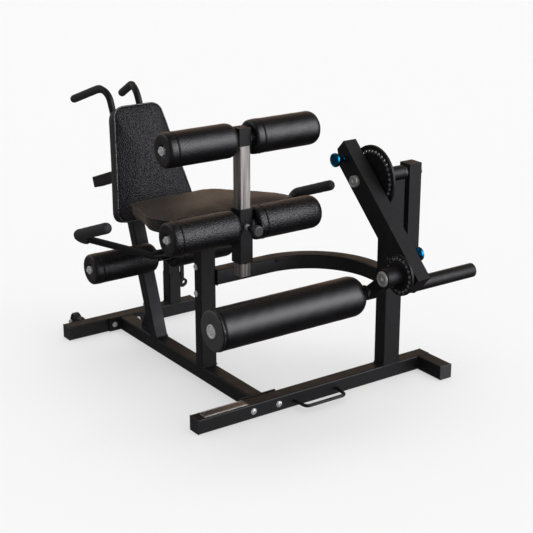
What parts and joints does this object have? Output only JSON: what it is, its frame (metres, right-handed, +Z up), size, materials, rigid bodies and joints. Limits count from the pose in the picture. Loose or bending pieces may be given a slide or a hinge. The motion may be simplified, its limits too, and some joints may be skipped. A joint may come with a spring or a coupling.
{
  "type": "leg extension machine",
  "caption": "Plate-loaded seated leg extension bench: tilted seat, leaning backrest, foam rollers, hinged lever with index discs and a weight horn on a welded tube frame.",
  "frame": {"origin": "middle of the object's bounding box on the floor", "axes": "+Z up; the user sits facing -Y with the backrest towards +Y; +X is the user's left, where the weight horn stands out"},
  "size_m": [1.3256, 1.3842, 0.926],
  "materials": {
    "frame_black": "textured matte black powder coat over welded steel tube",
    "bare_steel": "brushed bare steel with a satin grain along its length",
    "zinc": "bright zinc-plated steel",
    "blue_pin": "blue anodised aluminium knob",
    "pad_leather": "black grained synthetic leather over foam",
    "grip_foam": "dark grey foam rubber",
    "plastic_black": "black moulded plastic"
  },
  "bodies": {
    "frame": {"front_crossbeam": "frame_black", "front_left_cap": "plastic_black", "front_right_cap": "plastic_black", "front_foot": "frame_black", "front_foot_cap": "plastic_black", "long_beam": "frame_black", "rear_crossbeam": "frame_black", "rear_left_cap": "plastic_black", "rear_right_cap": "plastic_black", "name_plate": "bare_steel", "lift_handle": "frame_black", "wheel_bracket_left": "frame_black", "wheel_bracket_right": "frame_black", "seat_post": "frame_black", "rear_post": "frame_black", "rear_gusset": "frame_black", "mast": "frame_black", "pivot_housing": "frame_black", "curved_brace": "frame_black", "seat_pad": "pad_leather", "seat_beam": "frame_black", "thigh_sleeve": "frame_black", "knee_axle_left": "zinc", "knee_axle_right": "zinc", "rear_roller_axle": "zinc", "rear_roller_arm": "frame_black", "handle_bar": "frame_black", "side_grip_left": "grip_foam", "side_grip_right": "grip_foam", "backrest_sleeve": "frame_black", "accessory_post": "frame_black"},
    "wheel_left": {"wheel_left": "plastic_black"},
    "wheel_right": {"wheel_right": "plastic_black"},
    "knee_roller_left": {"knee_roller_left": "pad_leather"},
    "knee_roller_right": {"knee_roller_right": "pad_leather"},
    "rear_roller_left": {"rear_roller_left": "pad_leather"},
    "rear_roller_right": {"rear_roller_right": "pad_leather"},
    "thigh_carriage": {"thigh_post": "bare_steel", "thigh_head": "frame_black", "thigh_axle": "zinc"},
    "thigh_roller_left": {"thigh_roller_left": "pad_leather"},
    "thigh_roller_right": {"thigh_roller_right": "pad_leather"},
    "thigh_pin": {"thigh_pin": "plastic_black"},
    "backrest": {"backrest_pad": "pad_leather", "backrest_carriage": "frame_black", "top_handle_left": "frame_black", "top_handle_right": "frame_black"},
    "backrest_pin": {"backrest_pin": "plastic_black"},
    "swing_arm": {"main_axle": "zinc", "start_disc": "frame_black", "weight_arm": "frame_black", "weight_horn": "frame_black"},
    "lever": {"lever": "frame_black"},
    "start_pin": {"start_pin": "blue_pin"},
    "roller_pin": {"roller_pin": "blue_pin"},
    "roller_arm": {"roller_hub": "frame_black", "roller_disc": "frame_black", "roller_arm": "frame_black", "roller_shaft": "zinc"},
    "shin_roller": {"shin_roller": "pad_leather"}
  },
  "joints": [
    {"name": "wheel_left_spin", "type": "hinge", "parent": "frame", "child": "wheel_left", "pos_m": [-0.38225, 0.6014, 0.036], "axis": [1, 0, 0], "continuous": true},
    {"name": "wheel_right_spin", "type": "hinge", "parent": "frame", "child": "wheel_right", "pos_m": [-0.06825, 0.6014, 0.036], "axis": [1, 0, 0], "continuous": true},
    {"name": "knee_roller_left_spin", "type": "hinge", "parent": "frame", "child": "knee_roller_left", "pos_m": [-0.37825, -0.2786, 0.6], "axis": [1, 0, 0], "continuous": true},
    {"name": "knee_roller_right_spin", "type": "hinge", "parent": "frame", "child": "knee_roller_right", "pos_m": [-0.07225, -0.2786, 0.6], "axis": [1, 0, 0], "continuous": true},
    {"name": "rear_roller_left_spin", "type": "hinge", "parent": "frame", "child": "rear_roller_left", "pos_m": [-0.38025, 0.2314, 0.362], "axis": [1, 0, 0], "continuous": true},
    {"name": "rear_roller_right_spin", "type": "hinge", "parent": "frame", "child": "rear_roller_right", "pos_m": [-0.07025, 0.2314, 0.362], "axis": [1, 0, 0], "continuous": true},
    {"name": "thigh_post_slide", "type": "slide", "parent": "frame", "child": "thigh_carriage", "axis": [0, 0, 1], "range_m": [0, 0.12]},
    {"name": "thigh_roller_left_spin", "type": "hinge", "parent": "thigh_carriage", "child": "thigh_roller_left", "pos_m": [-0.37825, -0.2646, 0.871], "axis": [1, 0, 0], "continuous": true},
    {"name": "thigh_roller_right_spin", "type": "hinge", "parent": "thigh_carriage", "child": "thigh_roller_right", "pos_m": [-0.07225, -0.2646, 0.871], "axis": [1, 0, 0], "continuous": true},
    {"name": "thigh_pin_pull", "type": "slide", "parent": "frame", "child": "thigh_pin", "axis": [0, -1, 0], "range_m": [0, 0.012], "stiffness_N_per_m": 900, "springref_m": -0.004},
    {"name": "backrest_slide", "type": "slide", "parent": "frame", "child": "backrest", "axis": [0, -0.9397, 0.342], "range_m": [-0.03, 0.075]},
    {"name": "backrest_pin_pull", "type": "slide", "parent": "frame", "child": "backrest_pin", "axis": [1, 0, 0], "range_m": [0, 0.012], "stiffness_N_per_m": 900, "springref_m": -0.004},
    {"name": "weight_arm_swing", "type": "hinge", "parent": "frame", "child": "swing_arm", "pos_m": [0.26975, -0.3776, 0.706], "axis": [1, 0, 0], "range_deg": [-75, 0]},
    {"name": "lever_start_angle", "type": "hinge", "parent": "swing_arm", "child": "lever", "pos_m": [0.16275, -0.3776, 0.706], "axis": [1, 0, 0], "range_deg": [-42.35, 31.76]},
    {"name": "start_pin_pull", "type": "slide", "parent": "lever", "child": "start_pin", "axis": [-1, 0, 0], "range_m": [0, 0.012], "stiffness_N_per_m": 900, "springref_m": -0.004},
    {"name": "roller_pin_pull", "type": "slide", "parent": "lever", "child": "roller_pin", "axis": [1, 0, 0], "range_m": [0, 0.012], "stiffness_N_per_m": 900, "springref_m": -0.004},
    {"name": "roller_arm_angle", "type": "hinge", "parent": "lever", "child": "roller_arm", "pos_m": [0.11975, -0.62816, 0.46739], "axis": [1, 0, 0], "range_deg": [-54, 36]},
    {"name": "shin_roller_spin", "type": "hinge", "parent": "roller_arm", "child": "shin_roller", "pos_m": [-0.25025, -0.5476, 0.4], "axis": [1, 0, 0], "continuous": true}
  ]
}
